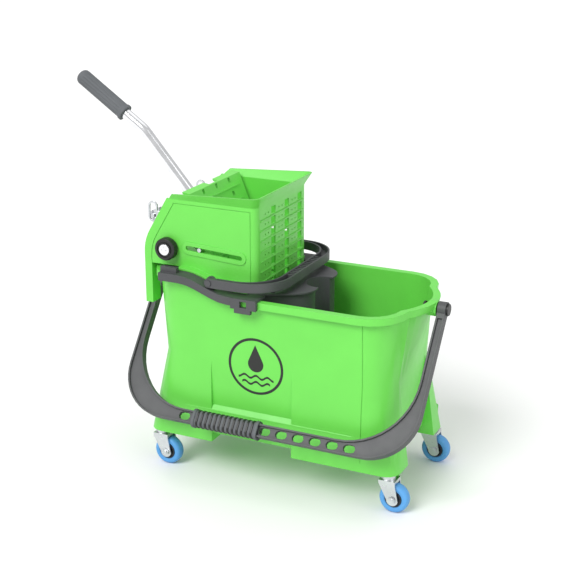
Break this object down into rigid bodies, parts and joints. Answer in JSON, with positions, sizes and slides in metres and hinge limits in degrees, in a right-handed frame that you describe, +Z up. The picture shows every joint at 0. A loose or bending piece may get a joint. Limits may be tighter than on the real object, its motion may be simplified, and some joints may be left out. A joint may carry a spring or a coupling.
{
  "type": "mop bucket with wringer",
  "caption": "Wheeled rectangular mop bucket with a carrying bail, a lift-out inner bucket with its own bail, and a lever-operated press wringer on one end.",
  "frame": {"origin": "bottom centre of the bounding box, on the floor under the casters", "axes": "+X along the bucket from the wringer end to the free end, +Y away from the side where the carrying bail hangs, +Z up"},
  "size_m": [0.6922, 0.3052, 0.662],
  "materials": {
    "green_plastic": "satin moulded, fine orange-peel",
    "press_plastic": "satin moulded",
    "dark_plastic": "matte moulded grain",
    "bail_plastic": "matte moulded grain",
    "grip_rubber": "matte ribbed",
    "black_plastic": "satin",
    "blue_tyre": "matte",
    "hub_plastic": "matte",
    "zinc_steel": "zinc plated",
    "chrome_tube": "bright plated"
  },
  "bodies": {
    "bucket": {"bucket_shell": "green_plastic", "bail_pin_left": "black_plastic", "bail_pin_right": "black_plastic", "caster_stem_left_near": "zinc_steel", "caster_stem_left_far": "zinc_steel", "caster_stem_right_near": "zinc_steel", "caster_stem_right_far": "zinc_steel"},
    "carrying_bail": {"bail_frame": "bail_plastic", "bail_grip": "grip_rubber"},
    "inner_bucket": {"inner_bucket": "dark_plastic", "inner_bail_rivet_near": "dark_plastic", "inner_bail_rivet_far": "dark_plastic"},
    "inner_bail": {"inner_bail": "dark_plastic"},
    "wringer": {"wringer_body": "green_plastic", "pivot_shaft": "zinc_steel", "pivot_knob_near": "black_plastic", "pivot_knob_far": "black_plastic", "pivot_screw_near": "chrome_tube", "pivot_screw_far": "chrome_tube"},
    "lever": {"lever_bracket": "zinc_steel", "lever_tube": "chrome_tube", "lever_grip": "grip_rubber", "lever_bolt_lower": "zinc_steel", "lever_bolt_upper": "zinc_steel", "crank_pin_near": "zinc_steel", "crank_pin_far": "zinc_steel"},
    "press": {"press_plate": "press_plastic", "press_yoke_near": "zinc_steel", "press_yoke_far": "zinc_steel", "guide_pin_near": "zinc_steel", "guide_pin_far": "zinc_steel"},
    "caster_left_near": {"caster_fork_left_near": "zinc_steel", "caster_axle_left_near": "zinc_steel"},
    "wheel_left_near": {"caster_hub_left_near": "hub_plastic", "caster_tyre_left_near": "blue_tyre"},
    "caster_left_far": {"caster_fork_left_far": "zinc_steel", "caster_axle_left_far": "zinc_steel"},
    "wheel_left_far": {"caster_hub_left_far": "hub_plastic", "caster_tyre_left_far": "blue_tyre"},
    "caster_right_near": {"caster_fork_right_near": "zinc_steel", "caster_axle_right_near": "zinc_steel"},
    "wheel_right_near": {"caster_hub_right_near": "hub_plastic", "caster_tyre_right_near": "blue_tyre"},
    "caster_right_far": {"caster_fork_right_far": "zinc_steel", "caster_axle_right_far": "zinc_steel"},
    "wheel_right_far": {"caster_hub_right_far": "hub_plastic", "caster_tyre_right_far": "blue_tyre"}
  },
  "joints": [
    {"name": "bail_swing", "type": "hinge", "parent": "bucket", "child": "carrying_bail", "pos_m": [0, 0.01307, 0.32], "axis": [-1, 0, 0], "range_deg": [0, 128]},
    {"name": "inner_bucket_lift", "type": "slide", "parent": "bucket", "child": "inner_bucket", "axis": [0, 0, -1], "range_m": [-0.17, 0]},
    {"name": "inner_bail_swing", "type": "hinge", "parent": "inner_bucket", "child": "inner_bail", "pos_m": [-0.01828, 0.01307, 0.35419], "axis": [0, -1, 0], "range_deg": [0, 38]},
    {"name": "wringer_lift", "type": "slide", "parent": "inner_bucket", "child": "wringer", "axis": [0, 0, -1], "range_m": [-0.075, 0]},
    {"name": "lever_swing", "type": "hinge", "parent": "wringer", "child": "lever", "pos_m": [-0.11328, 0.01307, 0.392], "axis": [0, 1, 0], "range_deg": [0, 55]},
    {"name": "press_slide", "type": "slide", "parent": "wringer", "child": "press", "axis": [0.9982, 0, -0.0599], "range_m": [0, 0.05508]},
    {"name": "swivel_left_near", "type": "hinge", "parent": "bucket", "child": "caster_left_near", "pos_m": [-0.13228, -0.08893, 0.07415], "axis": [0, 0, 1], "continuous": true},
    {"name": "roll_left_near", "type": "hinge", "parent": "caster_left_near", "child": "wheel_left_near", "pos_m": [-0.12028, -0.08893, 0.025], "axis": [0, 1, 0], "continuous": true},
    {"name": "swivel_left_far", "type": "hinge", "parent": "bucket", "child": "caster_left_far", "pos_m": [-0.13228, 0.11507, 0.07415], "axis": [0, 0, 1], "continuous": true},
    {"name": "roll_left_far", "type": "hinge", "parent": "caster_left_far", "child": "wheel_left_far", "pos_m": [-0.12028, 0.11507, 0.025], "axis": [0, 1, 0], "continuous": true},
    {"name": "swivel_right_near", "type": "hinge", "parent": "bucket", "child": "caster_right_near", "pos_m": [0.28772, -0.08893, 0.07415], "axis": [0, 0, 1], "continuous": true},
    {"name": "roll_right_near", "type": "hinge", "parent": "caster_right_near", "child": "wheel_right_near", "pos_m": [0.29973, -0.08893, 0.025], "axis": [0, 1, 0], "continuous": true},
    {"name": "swivel_right_far", "type": "hinge", "parent": "bucket", "child": "caster_right_far", "pos_m": [0.28772, 0.11507, 0.07415], "axis": [0, 0, 1], "continuous": true},
    {"name": "roll_right_far", "type": "hinge", "parent": "caster_right_far", "child": "wheel_right_far", "pos_m": [0.29973, 0.11507, 0.025], "axis": [0, 1, 0], "continuous": true}
  ],
  "couplings": [
    {"joint": "press_slide", "follows": "lever_swing", "m_per_rad": 0.056858}
  ]
}
